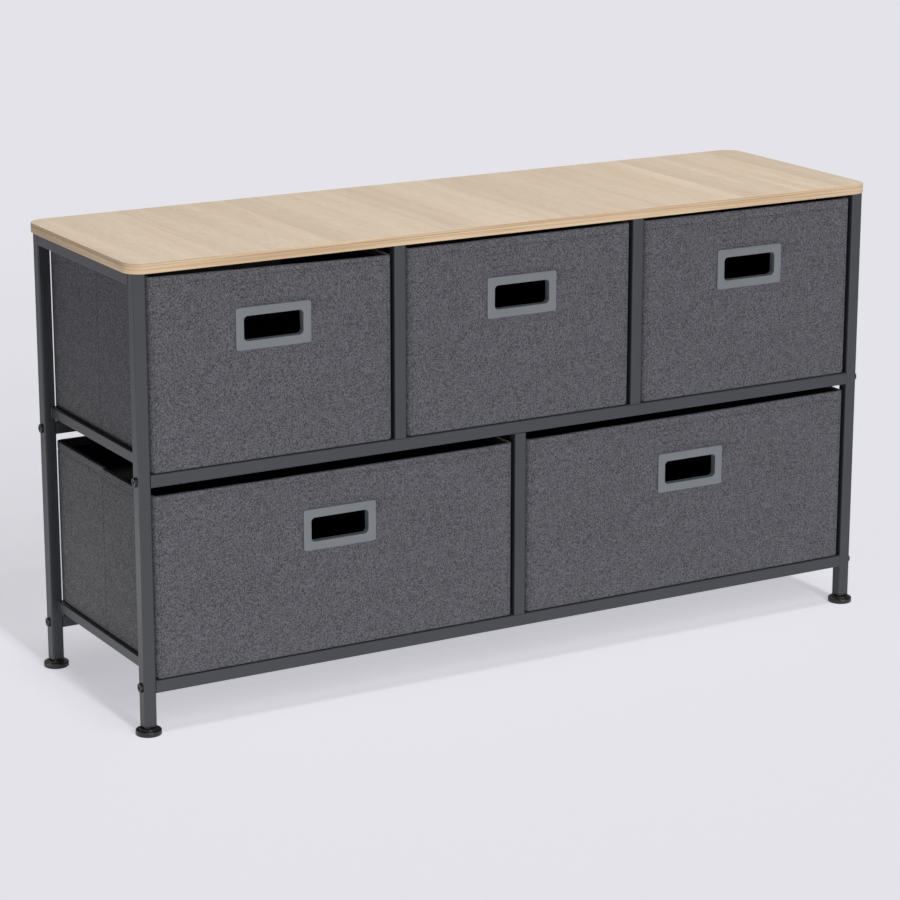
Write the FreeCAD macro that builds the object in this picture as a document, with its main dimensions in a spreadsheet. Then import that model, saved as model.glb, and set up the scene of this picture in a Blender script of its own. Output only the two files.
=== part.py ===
"""Wide dresser: a welded and bolted frame of steel tube, a wood-effect board on top,
three fabric drawers above two wider ones, and four levelling feet.

The origin is on the floor below the middle of the dresser.  +X is to the right as seen from
the front, +Y is to the back and +Z is up.  All sizes are in millimetres.
"""
import FreeCAD, Part
import os
import Sketcher

Vector = FreeCAD.Vector
Rotation = FreeCAD.Rotation
Constraint = Sketcher.Constraint

doc = FreeCAD.newDocument("fabric_drawer_dresser")

# ---------------------------------------------------------------- driving dimensions

SIZES = [
    ("total_height", 545.0, "floor to the top of the board"),
    ("board_overhang", 6.5, "top board past the posts, all round"),
    ("board_thickness", 12.0, "top board"),
    ("board_corner", 22.0, "radius of the board's corners in plan"),
    ("board_edge", 1.2, "rounding of the board's upper and lower edges"),
    ("frame_length", 987.0, "outside of the left posts to outside of the right posts"),
    ("frame_depth", 284.0, "outside of the front posts to outside of the back posts"),
    ("tube", 15.0, "outside width of the square tube"),
    ("tube_wall", 1.2, "wall of the square tube"),
    ("tube_corner", 1.8, "outside corner radius of the square tube"),
    ("post_foot", 10.0, "floor to the lower end of a post's plug"),
    ("bottom_rail_top", 64.0, "top of the front and back bottom rails"),
    ("middle_rail_top", 304.5, "top of the front and back middle rails"),
    ("side_rail_width", 5.0, "flat middle and bottom rails of the end frames, across"),
    ("side_rail_height", 12.0, "flat rails, from bottom to top"),
    ("side_rail_corner", 1.0, "outside corner radius of the flat rails"),
    ("side_rail_wall", 1.2, "wall of the flat rails"),
    ("side_rail_rise", 12.5, "long rails' tops up to the middle of the flat rails"),
    ("side_rail_gap", 1.6, "flat rails to the drawers beside them"),
    ("upper_rim_gap", 5.5, "upper drawers' rims to the board"),
    ("lower_rim_gap", 7.5, "lower drawers' rims to the middle rail"),
    ("drawer_side_gap", 2.0, "a drawer to the post or divider beside it"),
    ("drawer_rest_gap", 0.3, "a drawer's bottom to the rails that carry it"),
    ("drawer_front_inset", 1.0, "a drawer's front behind the front of the frame"),
    ("drawer_back_inset", 5.0, "a drawer's back in front of the back of the frame"),
    ("drawer_corner", 8.0, "radius of a drawer's upright corners"),
    ("drawer_bottom_edge", 2.0, "rounding round a drawer's bottom"),
    ("fabric", 1.0, "each layer of a drawer's fabric"),
    ("wall_board", 3.0, "boards between the fabric's outer and inner layers"),
    ("board_fold", 1.5, "gap between two wall boards where the bin folds"),
    ("board_slack", 6.0, "top of the wall boards to the fabric over them"),
    ("base_board", 4.0, "loose board on a drawer's bottom"),
    ("base_board_play", 0.5, "base board to the bin's inner layer, all round"),
    ("handle_width", 94.0, "handle bezel, left to right"),
    ("handle_height", 49.0, "handle bezel, bottom to top"),
    ("handle_corner", 3.0, "corner radius of the bezel"),
    ("handle_proud", 2.2, "bezel in front of the fabric"),
    ("handle_drop", 70.0, "a drawer's rim down to the middle of its handle"),
    ("grip_width", 74.0, "opening of the handle, left to right"),
    ("grip_height", 28.5, "opening of the handle, bottom to top"),
    ("grip_corner", 5.0, "corner radius of the opening"),
    ("collar_wall", 2.0, "wall of the collar behind the bezel"),
    ("collar_play", 0.3, "collar to the cut-out in the drawer's front, all round"),
    ("ring_play", 0.1, "collar to the backing ring, all round"),
    ("ring_border", 6.0, "width of the backing ring round the collar"),
    ("ring_thickness", 2.0, "backing ring"),
    ("thread", 6.0, "outside diameter of bolts, screws, pegs and foot studs"),
    ("bolt_hole", 6.4, "clearance hole for a bolt or screw"),
    ("bolt_grip", 12.0, "bolt's length inside the rail's end plug"),
    ("bolt_head", 11.0, "diameter of a bolt's head"),
    ("bolt_head_height", 3.0, "height of a bolt's head"),
    ("bolt_socket", 4.0, "hexagon socket of a bolt, across corners"),
    ("bolt_socket_depth", 1.8, "depth of the hexagon socket"),
    ("screw_grip", 9.0, "screw's length past the tube wall"),
    ("screw_head", 9.5, "diameter of a screw's head"),
    ("screw_head_height", 3.0, "height of a screw's head"),
    ("access_hole", 10.5, "hole through which a screw's head is driven"),
    ("board_screw_y", 80.0, "board screws in front of and behind the middle"),
    ("plug_length", 15.0, "threaded plug in a tube's end"),
    ("peg_length", 20.0, "peg between an upper divider and the board"),
    ("peg_seat", 8.0, "depth of a peg in the board"),
    ("post_plug_flange", 1.5, "rim of the plug under a post"),
    ("post_plug_stem", 16.0, "stem of the plug inside a post"),
    ("stud_play", 0.05, "foot stud to the bore of the post's plug, all round"),
    ("foot_radius", 15.0, "levelling foot"),
    ("foot_height", 6.4, "rim of the levelling foot"),
    ("foot_edge", 1.8, "rounding of the foot's upper edge"),
    ("foot_heel", 1.0, "rounding of the foot's lower edge"),
    ("foot_hub_radius", 11.0, "raised middle of the foot"),
    ("foot_hub_height", 8.2, "floor to the top of the raised middle"),
    ("foot_hub_edge", 0.6, "rounding of the raised middle"),
    ("stud_seat", 3.0, "floor to the stud's lower end inside the foot"),
    ("stud_length", 33.0, "threaded stud of the foot"),
    ("stud_chamfer", 0.8, "chamfer at a stud's or peg's end"),
]

sheet = doc.addObject("Spreadsheet::Sheet", "Sizes")
for row, (alias, value, meaning) in enumerate(SIZES, start=1):
    sheet.set(f"A{row}", meaning)
    sheet.set(f"B{row}", str(value))
    sheet.setAlias(f"B{row}", alias)
doc.recompute()

# ---------------------------------------------------------------- places worked out from the sizes

BOARD_UNDERSIDE = "(Sizes.total_height - Sizes.board_thickness)"
BOARD_LENGTH = "(Sizes.frame_length + 2 * Sizes.board_overhang)"
BOARD_DEPTH = "(Sizes.frame_depth + 2 * Sizes.board_overhang)"
END_X = "(Sizes.frame_length / 2 - Sizes.tube / 2)"
FACE_Y = "(Sizes.frame_depth / 2 - Sizes.tube / 2)"
POST_START = "(Sizes.post_foot + Sizes.post_plug_flange)"
RAIL_LENGTH = "(Sizes.frame_length - 2 * Sizes.tube)"
SIDE_RAIL_LENGTH = "(Sizes.frame_depth - 2 * Sizes.tube)"
DRAWER_SIDE_X = "(Sizes.frame_length / 2 - Sizes.tube - Sizes.drawer_side_gap)"
FLAT_RAIL_X = f"({DRAWER_SIDE_X} + Sizes.side_rail_gap + Sizes.side_rail_width / 2)"
MIDDLE_RAIL_UNDERSIDE = "(Sizes.middle_rail_top - Sizes.tube)"
UPPER_BAY = "((Sizes.frame_length - 4 * Sizes.tube) / 3)"
LOWER_BAY = "((Sizes.frame_length - 3 * Sizes.tube) / 2)"
UPPER_DIVIDER_X = f"(({UPPER_BAY} + Sizes.tube) / 2)"
TUBE_BORE = "(Sizes.tube - 2 * Sizes.tube_wall)"
DRAWER_DEPTH = "(Sizes.frame_depth - Sizes.drawer_front_inset - Sizes.drawer_back_inset)"
DRAWER_Y = "((Sizes.drawer_front_inset - Sizes.drawer_back_inset) / 2)"
WALL = "(2 * Sizes.fabric + Sizes.wall_board)"
COLLAR_WIDTH = "(Sizes.grip_width + 2 * Sizes.collar_wall)"
COLLAR_HEIGHT = "(Sizes.grip_height + 2 * Sizes.collar_wall)"
COLLAR_CORNER = "(Sizes.grip_corner + Sizes.collar_wall)"


# ---------------------------------------------------------------- sketches and features

def new_body(label, start=("0", "0", "0")):
    """A PartDesign body whose own origin lies at start, three expressions for X, Y and Z."""
    body = doc.addObject("PartDesign::Body", label)
    body.Label = label
    for letter, expression in zip("xyz", start):
        body.setExpression(f"Placement.Base.{letter}", expression)
    return body


def new_sketch(body, plane, shift=("0", "0", "0")):
    """A sketch on one of the body's origin planes, shifted along the sketch's own axes."""
    sketch = body.newObject("Sketcher::SketchObject", f"{body.Name}_sketch")
    support = [item for item in body.Origin.OriginFeatures if item.Role == f"{plane}_Plane"]
    sketch.AttachmentSupport = [(support[0], "")]
    sketch.MapMode = "FlatFace"
    for letter, expression in zip("xyz", shift):
        sketch.setExpression(f"AttachmentOffset.Base.{letter}", expression)
    return sketch


def bind(sketch, constraint, name, expression):
    """Add a size to a sketch and tie it to an expression."""
    index = sketch.addConstraint(constraint)
    sketch.renameConstraint(index, name)
    sketch.setExpression(f"Constraints.{name}", expression)


def draw_rectangle(sketch, across, upward, name="box"):
    """A sharp rectangle centred on the sketch's origin."""
    corners = [Vector(-1, -1, 0), Vector(1, -1, 0), Vector(1, 1, 0), Vector(-1, 1, 0)]
    first = sketch.GeometryCount
    for index in range(4):
        sketch.addGeometry(Part.LineSegment(corners[index], corners[(index + 1) % 4]))
    lines = [first + index for index in range(4)]
    for index in range(4):
        sketch.addConstraint(Constraint("Coincident", lines[index], 2, lines[(index + 1) % 4], 1))
        sketch.addConstraint(Constraint("Vertical" if index % 2 else "Horizontal", lines[index]))
    sketch.addConstraint(Constraint("Symmetric", lines[0], 1, lines[1], 2, -1, 1))
    bind(sketch, Constraint("DistanceX", lines[0], 1, lines[0], 2, 2.0), f"{name}_across", across)
    bind(sketch, Constraint("DistanceY", lines[1], 1, lines[1], 2, 2.0), f"{name}_upward", upward)


def draw_rounded(sketch, across, upward, corner, name="round"):
    """A rectangle with equal round corners, centred on the sketch's origin."""
    signs = [(1, 1), (-1, 1), (-1, -1), (1, -1)]
    quarter = FreeCAD.Units.Quantity("90 deg").getValueAs("rad").Value
    arcs = []
    for index, (sign_x, sign_y) in enumerate(signs):
        circle = Part.Circle(Vector(3 * sign_x, 3 * sign_y, 0), Vector(0, 0, 1), 1)
        arc = Part.ArcOfCircle(circle, index * quarter, (index + 1) * quarter)
        arcs.append(sketch.addGeometry(arc))
    ends = [(Vector(3, 4, 0), Vector(-3, 4, 0)), (Vector(-4, 3, 0), Vector(-4, -3, 0)),
            (Vector(-3, -4, 0), Vector(3, -4, 0)), (Vector(4, -3, 0), Vector(4, 3, 0))]
    lines = [sketch.addGeometry(Part.LineSegment(*pair)) for pair in ends]
    for index in range(4):
        sketch.addConstraint(Constraint("Tangent", arcs[index], 2, lines[index], 1))
        sketch.addConstraint(Constraint("Tangent", lines[index], 2, arcs[(index + 1) % 4], 1))
        sketch.addConstraint(Constraint("Vertical" if index % 2 else "Horizontal", lines[index]))
    for index in range(1, 4):
        sketch.addConstraint(Constraint("Equal", arcs[0], arcs[index]))
    sketch.addConstraint(Constraint("Symmetric", arcs[0], 3, arcs[2], 3, -1, 1))
    bind(sketch, Constraint("Radius", arcs[0], 1.0), f"{name}_corner", corner)
    bind(sketch, Constraint("DistanceX", lines[2], 1, lines[2], 2, 6.0), f"{name}_across",
         f"{across} - 2 * {corner}")
    bind(sketch, Constraint("DistanceY", lines[3], 1, lines[3], 2, 6.0), f"{name}_upward",
         f"{upward} - 2 * {corner}")


def draw_circle(sketch, diameter, centre=("0", "0"), name="hole"):
    """A circle whose centre is given from the sketch's origin."""
    circle = sketch.addGeometry(Part.Circle(Vector(1, 1, 0), Vector(0, 0, 1), 1))
    if centre == ("0", "0"):
        sketch.addConstraint(Constraint("Coincident", circle, 3, -1, 1))
    else:
        bind(sketch, Constraint("DistanceX", -1, 1, circle, 3, 1.0), f"{name}_x", centre[0])
        bind(sketch, Constraint("DistanceY", -1, 1, circle, 3, 1.0), f"{name}_y", centre[1])
    bind(sketch, Constraint("Diameter", circle, 2.0), f"{name}_diameter", diameter)


def pad(body, sketch, length, reverse=False):
    """Raise a sketch along its normal, or against it."""
    feature = body.newObject("PartDesign::Pad", f"{body.Name}_pad")
    feature.Profile = sketch
    feature.Reversed = reverse
    feature.setExpression("Length", length)
    return feature


def pocket(body, sketch, depth, reverse=False, symmetric=False):
    """Cut a sketch against its normal, along it, or both ways."""
    feature = body.newObject("PartDesign::Pocket", f"{body.Name}_pocket")
    feature.Profile = sketch
    feature.Reversed = reverse
    feature.SideType = "Symmetric" if symmetric else "One side"
    feature.setExpression("Length", depth)
    return feature


def rim_edges(shape, axis, level, inner=False):
    """Names of the edges round the flat face at a level: its outside, or its openings."""
    wanted = []
    for face in shape.Faces:
        box = face.BoundBox
        low, high = (getattr(box, axis + side) for side in ("Min", "Max"))
        if abs(low - level) > 1e-4 or abs(high - level) > 1e-4:
            continue
        for wire in face.Wires:
            if wire.isSame(face.OuterWire) != inner:
                wanted += wire.Edges
    return [f"Edge{number}" for number, edge in enumerate(shape.Edges, start=1)
            if any(edge.isSame(other) for other in wanted)]


def soften(body, axis, level, size, inner=False, kind="Fillet"):
    """Fillet or chamfer the rim of the flat face at a level on the body's own axis."""
    doc.recompute()
    base = body.Tip
    feature = body.newObject(f"PartDesign::{kind}", f"{body.Name}_{kind.lower()}")
    feature.Base = (base, rim_edges(base.Shape, axis, level, inner))
    feature.setExpression("Radius" if kind == "Fillet" else "Size", size)
    return feature


def size_of(alias):
    """The value of a driving dimension."""
    return float(sheet.get(alias))


def group(label, master, places):
    """One node of equal loose pieces: the master body repeated at each place and turn."""
    copies = []
    for place, turn in places:
        copy = doc.addObject("App::Link", f"{label}_copy")
        copy.setLink(master)
        copy.Placement = FreeCAD.Placement(Vector(), turn)
        for letter, expression in zip("xyz", place):
            copy.setExpression(f"Placement.Base.{letter}", expression)
        copies.append(copy)
    compound = doc.addObject("Part::Compound", label)
    compound.Label = label
    compound.Links = copies
    return compound


# ---------------------------------------------------------------- tubes

RUN_PLANE = {"X": "YZ", "Y": "XZ", "Z": "XY"}


def square_tube(label, run, length, start):
    """A tube that runs from start along +X, +Y or +Z; its own origin is on its centre line."""
    body = new_body(label, start)
    section = new_sketch(body, RUN_PLANE[run])
    draw_rounded(section, "Sizes.tube", "Sizes.tube", "Sizes.tube_corner", "outside")
    draw_rectangle(section, TUBE_BORE, TUBE_BORE, "bore")
    pad(body, section, length, reverse=(run == "Y"))
    return body


def flat_tube(label, length, start):
    """An upright flat tube that runs from start along +Y; its origin is on its centre line."""
    body = new_body(label, start)
    section = new_sketch(body, RUN_PLANE["Y"])
    draw_rounded(section, "Sizes.side_rail_width", "Sizes.side_rail_height",
                 "Sizes.side_rail_corner", "outside")
    draw_rectangle(section, "Sizes.side_rail_width - 2 * Sizes.side_rail_wall",
                   "Sizes.side_rail_height - 2 * Sizes.side_rail_wall", "bore")
    pad(body, section, length, reverse=True)
    return body


def upright_hole(body, run, along, upper, lower):
    """Holes in a level tube's upper and lower walls, at a distance along it."""
    shift = (along, "0", "0") if run == "X" else ("0", along, "0")
    for diameter, goes_up in ((upper, True), (lower, False)):
        sketch = new_sketch(body, "XY", shift)
        draw_circle(sketch, diameter)
        pocket(body, sketch, "Sizes.tube", reverse=goes_up)


def make_posts():
    """Four posts, each with a bolt hole at every long rail."""
    posts = []
    for depth_name, depth_sign in (("front", "-"), ("back", "")):
        for side_name, side_sign in (("left", "-"), ("right", "")):
            start = (f"{side_sign}{END_X}", f"{depth_sign}{FACE_Y}", POST_START)
            post = square_tube(f"{depth_name}_{side_name}_post", "Z",
                               f"{BOARD_UNDERSIDE} - {POST_START}", start)
            for rail_top in ("Sizes.bottom_rail_top", "Sizes.middle_rail_top"):
                height = f"{rail_top} - Sizes.tube / 2 - {POST_START}"
                sketch = new_sketch(post, "YZ", ("0", height, "0"))
                draw_circle(sketch, "Sizes.bolt_hole")
                pocket(post, sketch, "2 * Sizes.tube", symmetric=True)
            posts.append(post)
    return posts


def make_side_rails():
    """In each end frame a square rail under the board and two flat ones beside the drawers."""
    rails = []
    for side_name, side_sign in (("left", "-"), ("right", "")):
        start = (f"{side_sign}{END_X}", f"-{SIDE_RAIL_LENGTH} / 2",
                 f"{BOARD_UNDERSIDE} - Sizes.tube / 2")
        top_rail = square_tube(f"{side_name}_top_rail", "Y", SIDE_RAIL_LENGTH, start)
        for screw_sign in ("-", "+"):
            along = f"{SIDE_RAIL_LENGTH} / 2 {screw_sign} Sizes.board_screw_y"
            upright_hole(top_rail, "Y", along, "Sizes.bolt_hole", "Sizes.access_hole")
        rails.append(top_rail)
        for level_name in ("middle", "bottom"):
            height = f"Sizes.{level_name}_rail_top + Sizes.side_rail_rise"
            start = (f"{side_sign}{FLAT_RAIL_X}", f"-{SIDE_RAIL_LENGTH} / 2", height)
            rails.append(flat_tube(f"{side_name}_{level_name}_rail", SIDE_RAIL_LENGTH, start))
    return rails


def make_long_rails():
    """Two rails at the front and two at the back; the drawers stand on them."""
    rails = []
    for depth_name, depth_sign in (("front", "-"), ("back", "")):
        for level_name in ("middle", "bottom"):
            top = f"Sizes.{level_name}_rail_top"
            start = (f"-{RAIL_LENGTH} / 2", f"{depth_sign}{FACE_Y}", f"{top} - Sizes.tube / 2")
            rail = square_tube(f"{depth_name}_{level_name}_rail", "X", RAIL_LENGTH, start)
            lower_divider = f"{RAIL_LENGTH} / 2"
            if level_name == "bottom":
                upright_hole(rail, "X", lower_divider, "Sizes.bolt_hole", "Sizes.access_hole")
            else:
                upright_hole(rail, "X", lower_divider, "Sizes.access_hole", "Sizes.bolt_hole")
                for sign in ("-", "+"):
                    along = f"{RAIL_LENGTH} / 2 {sign} {UPPER_DIVIDER_X}"
                    upright_hole(rail, "X", along, "Sizes.bolt_hole", "Sizes.access_hole")
            rails.append(rail)
    return rails


def make_dividers():
    """Uprights between the drawers: two above and one below, at the front and at the back."""
    columns = {"left": (f"-{UPPER_DIVIDER_X}", "Sizes.middle_rail_top", BOARD_UNDERSIDE),
               "right": (UPPER_DIVIDER_X, "Sizes.middle_rail_top", BOARD_UNDERSIDE),
               "centre": ("0", "Sizes.bottom_rail_top", MIDDLE_RAIL_UNDERSIDE)}
    dividers = []
    for depth_name, depth_sign in (("front", "-"), ("back", "")):
        for column_name, (x, foot, head) in columns.items():
            start = (x, f"{depth_sign}{FACE_Y}", foot)
            dividers.append(square_tube(f"{depth_name}_{column_name}_divider", "Z",
                                        f"{head} - {foot}", start))
    return dividers


# ---------------------------------------------------------------- board, plugs and fasteners

def make_top_board():
    """The board, with blind holes in its underside for the screws and the dividers' pegs."""
    body = new_body("top_board", ("0", "0", BOARD_UNDERSIDE))
    outline = new_sketch(body, "XY")
    draw_rounded(outline, BOARD_LENGTH, BOARD_DEPTH, "Sizes.board_corner")
    pad(body, outline, "Sizes.board_thickness")
    soften(body, "Z", size_of("board_thickness"), "Sizes.board_edge")
    soften(body, "Z", 0.0, "Sizes.board_edge")
    for name, depth, x, y in (("screw", "Sizes.screw_grip", END_X, "Sizes.board_screw_y"),
                              ("peg", "Sizes.peg_seat", UPPER_DIVIDER_X, FACE_Y)):
        holes = new_sketch(body, "XY")
        for index, (sign_x, sign_y) in enumerate((("", ""), ("-", ""), ("-", "-"), ("", "-"))):
            draw_circle(holes, "Sizes.thread", (f"{sign_x}{x}", f"{sign_y}{y}"), f"{name}_{index}")
        pocket(body, holes, depth, reverse=True)
    return body


def make_headed_master(name, length, head, head_height, socket=False):
    """A bolt or screw along +Z, with its head below Z = 0."""
    body = new_body(name)
    shank = new_sketch(body, "XY")
    draw_circle(shank, "Sizes.thread")
    pad(body, shank, length)
    cap = new_sketch(body, "XY")
    draw_circle(cap, f"Sizes.{head}")
    pad(body, cap, f"Sizes.{head_height}", reverse=True)
    soften(body, "Z", -size_of(head_height), f"Sizes.{head_height} / 3")
    if socket:
        recess = body.newObject("PartDesign::SubtractivePrism", f"{name}_socket")
        recess.Polygon = 6
        recess.setExpression("Circumradius", "Sizes.bolt_socket / 2")
        recess.setExpression("Height", f"Sizes.{head_height}")
        recess.setExpression("Placement.Base.z",
                             f"Sizes.bolt_socket_depth - 2 * Sizes.{head_height}")
    return body


TURNED_UP = Rotation()
TURNED_DOWN = Rotation(Vector(1, 0, 0), 180)
TURNED_RIGHT = Rotation(Vector(0, 1, 0), 90)
TURNED_LEFT = Rotation(Vector(0, 1, 0), -90)


def face_signs():
    """The front and the back line of tubes."""
    return [f"-{FACE_Y}", FACE_Y]


def make_frame_bolts():
    """One bolt from outside through each post into each long rail's end."""
    master = make_headed_master("bolt_master", "Sizes.tube + Sizes.bolt_grip",
                                "bolt_head", "bolt_head_height", socket=True)
    places = []
    for y in face_signs():
        for top in ("Sizes.bottom_rail_top", "Sizes.middle_rail_top"):
            height = f"{top} - Sizes.tube / 2"
            places.append((("-Sizes.frame_length / 2", y, height), TURNED_RIGHT))
            places.append((("Sizes.frame_length / 2", y, height), TURNED_LEFT))
    return group("frame_bolts", master, places)


def make_inner_screws():
    """Screws with their heads inside the rails: into the dividers' plugs and into the board."""
    master = make_headed_master("screw_master", "Sizes.tube_wall + Sizes.screw_grip",
                                "screw_head", "screw_head_height")
    places = []
    for y in face_signs():
        for x in (f"-{UPPER_DIVIDER_X}", UPPER_DIVIDER_X):
            places.append(((x, y, "Sizes.middle_rail_top - Sizes.tube_wall"), TURNED_UP))
        places.append((("0", y, "Sizes.bottom_rail_top - Sizes.tube_wall"), TURNED_UP))
        places.append((("0", y, f"{MIDDLE_RAIL_UNDERSIDE} + Sizes.tube_wall"), TURNED_DOWN))
    for x in (f"-{END_X}", END_X):
        for y in ("-Sizes.board_screw_y", "Sizes.board_screw_y"):
            places.append(((x, y, f"{BOARD_UNDERSIDE} - Sizes.tube_wall"), TURNED_UP))
    return group("inner_screws", master, places)


def make_divider_pegs():
    """Pegs that hold the upper dividers' heads under the board."""
    master = new_body("peg_master")
    outline = new_sketch(master, "XY")
    draw_circle(outline, "Sizes.thread")
    pad(master, outline, "Sizes.peg_length")
    soften(master, "Z", 0.0, "Sizes.stud_chamfer", kind="Chamfer")
    soften(master, "Z", size_of("peg_length"), "Sizes.stud_chamfer", kind="Chamfer")
    foot = f"{BOARD_UNDERSIDE} + Sizes.peg_seat - Sizes.peg_length"
    places = [((x, y, foot), TURNED_UP) for x in (f"-{UPPER_DIVIDER_X}", UPPER_DIVIDER_X)
              for y in face_signs()]
    return group("divider_pegs", master, places)


def make_tube_end_plugs():
    """Threaded plugs in the ends of the long rails and of the dividers."""
    master = new_body("plug_master")
    outline = new_sketch(master, "XY")
    draw_rectangle(outline, TUBE_BORE, TUBE_BORE)
    draw_circle(outline, "Sizes.thread")
    pad(master, outline, "Sizes.plug_length")
    places = []
    for y in face_signs():
        for top in ("Sizes.bottom_rail_top", "Sizes.middle_rail_top"):
            height = f"{top} - Sizes.tube / 2"
            places.append(((f"-{RAIL_LENGTH} / 2", y, height), TURNED_RIGHT))
            places.append(((f"{RAIL_LENGTH} / 2", y, height), TURNED_LEFT))
        for x in (f"-{UPPER_DIVIDER_X}", UPPER_DIVIDER_X):
            places.append(((x, y, "Sizes.middle_rail_top"), TURNED_UP))
            places.append(((x, y, BOARD_UNDERSIDE), TURNED_DOWN))
        places.append((("0", y, "Sizes.bottom_rail_top"), TURNED_UP))
        places.append((("0", y, MIDDLE_RAIL_UNDERSIDE), TURNED_DOWN))
    return group("tube_end_plugs", master, places)


def make_post_plugs():
    """Plastic plugs under the posts, bored for the feet's studs."""
    master = new_body("post_plug_master")
    flange = new_sketch(master, "XY")
    draw_rounded(flange, "Sizes.tube", "Sizes.tube", "Sizes.tube_corner")
    pad(master, flange, "Sizes.post_plug_flange")
    stem = new_sketch(master, "XY", ("0", "0", "Sizes.post_plug_flange"))
    draw_rectangle(stem, TUBE_BORE, TUBE_BORE)
    pad(master, stem, "Sizes.post_plug_stem")
    bore = new_sketch(master, "XY")
    draw_circle(bore, "Sizes.thread + 2 * Sizes.stud_play")
    pocket(master, bore, "Sizes.post_plug_flange + Sizes.post_plug_stem", reverse=True)
    places = [((x, y, "Sizes.post_foot"), TURNED_UP) for x in (f"-{END_X}", END_X)
              for y in face_signs()]
    return group("post_plugs", master, places)


def make_feet():
    """Four levelling feet, each a moulded pad on a steel stud."""
    pieces = []
    for depth_name, depth_sign in (("front", "-"), ("back", "")):
        for side_name, side_sign in (("left", "-"), ("right", "")):
            where = (f"{side_sign}{END_X}", f"{depth_sign}{FACE_Y}")
            foot = new_body(f"{depth_name}_{side_name}_foot_pad", (*where, "0"))
            rim = new_sketch(foot, "XY")
            draw_circle(rim, "2 * Sizes.foot_radius")
            pad(foot, rim, "Sizes.foot_height")
            soften(foot, "Z", size_of("foot_height"), "Sizes.foot_edge")
            soften(foot, "Z", 0.0, "Sizes.foot_heel")
            hub = new_sketch(foot, "XY")
            draw_circle(hub, "2 * Sizes.foot_hub_radius")
            pad(foot, hub, "Sizes.foot_hub_height")
            soften(foot, "Z", size_of("foot_hub_height"), "Sizes.foot_hub_edge")
            seat = new_sketch(foot, "XY", ("0", "0", "Sizes.stud_seat"))
            draw_circle(seat, "Sizes.thread")
            pocket(foot, seat, "Sizes.foot_hub_height", reverse=True)
            stud = new_body(f"{depth_name}_{side_name}_foot_stud", (*where, "Sizes.stud_seat"))
            outline = new_sketch(stud, "XY")
            draw_circle(outline, "Sizes.thread")
            pad(stud, outline, "Sizes.stud_length")
            soften(stud, "Z", size_of("stud_length"), "Sizes.stud_chamfer", kind="Chamfer")
            pieces += [foot, stud]
    return pieces


# ---------------------------------------------------------------- drawers

UPPER_DRAWER = {
    "width": f"({UPPER_BAY} - 2 * Sizes.drawer_side_gap)",
    "bottom": "(Sizes.middle_rail_top + Sizes.drawer_rest_gap)",
    "top": f"({BOARD_UNDERSIDE} - Sizes.upper_rim_gap)",
}
LOWER_DRAWER = {
    "width": f"({LOWER_BAY} - 2 * Sizes.drawer_side_gap)",
    "bottom": "(Sizes.bottom_rail_top + Sizes.drawer_rest_gap)",
    "top": f"({MIDDLE_RAIL_UNDERSIDE} - Sizes.lower_rim_gap)",
}
DRAWERS = {
    "upper_left": (UPPER_DRAWER, f"-({UPPER_BAY} + Sizes.tube)"),
    "upper_middle": (UPPER_DRAWER, "0"),
    "upper_right": (UPPER_DRAWER, f"({UPPER_BAY} + Sizes.tube)"),
    "lower_left": (LOWER_DRAWER, f"-({LOWER_BAY} + Sizes.tube) / 2"),
    "lower_right": (LOWER_DRAWER, f"({LOWER_BAY} + Sizes.tube) / 2"),
}


def inset(size, depth):
    """A size made smaller by the same depth at both ends."""
    return f"({size} - 2 * {depth})"


def cut_handle_hole(body, height):
    """Cut the handle's hole through the front wall only."""
    hole = new_sketch(body, "XZ", ("0", f"{height} - Sizes.handle_drop", "0"))
    draw_rounded(hole, f"({COLLAR_WIDTH} + 2 * Sizes.collar_play)",
                 f"({COLLAR_HEIGHT} + 2 * Sizes.collar_play)",
                 f"({COLLAR_CORNER} + Sizes.collar_play)")
    pocket(body, hole, DRAWER_DEPTH, reverse=True)


def make_bin(label, kind, x):
    """The sewn fabric: a bottom, and walls of two layers that hold the wall boards."""
    width = kind["width"]
    height = f"({kind['top']} - {kind['bottom']})"
    body = new_body(label, (x, DRAWER_Y, kind["bottom"]))
    outside = new_sketch(body, "XY")
    draw_rounded(outside, width, DRAWER_DEPTH, "Sizes.drawer_corner")
    pad(body, outside, height)
    soften(body, "Z", 0.0, "Sizes.drawer_bottom_edge")
    inside = new_sketch(body, "XY", ("0", "0", height))
    draw_rectangle(inside, inset(width, WALL), inset(DRAWER_DEPTH, WALL))
    pocket(body, inside, f"{height} - Sizes.fabric")
    sleeve = new_sketch(body, "XY", ("0", "0", f"{height} - Sizes.fabric"))
    draw_rounded(sleeve, inset(width, "Sizes.fabric"), inset(DRAWER_DEPTH, "Sizes.fabric"),
                 "(Sizes.drawer_corner - Sizes.fabric)", "outside")
    lining = "(Sizes.fabric + Sizes.wall_board)"
    draw_rectangle(sleeve, inset(width, lining), inset(DRAWER_DEPTH, lining), "inside")
    pocket(body, sleeve, f"{height} - 2 * Sizes.fabric")
    cut_handle_hole(body, height)
    return body


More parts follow.
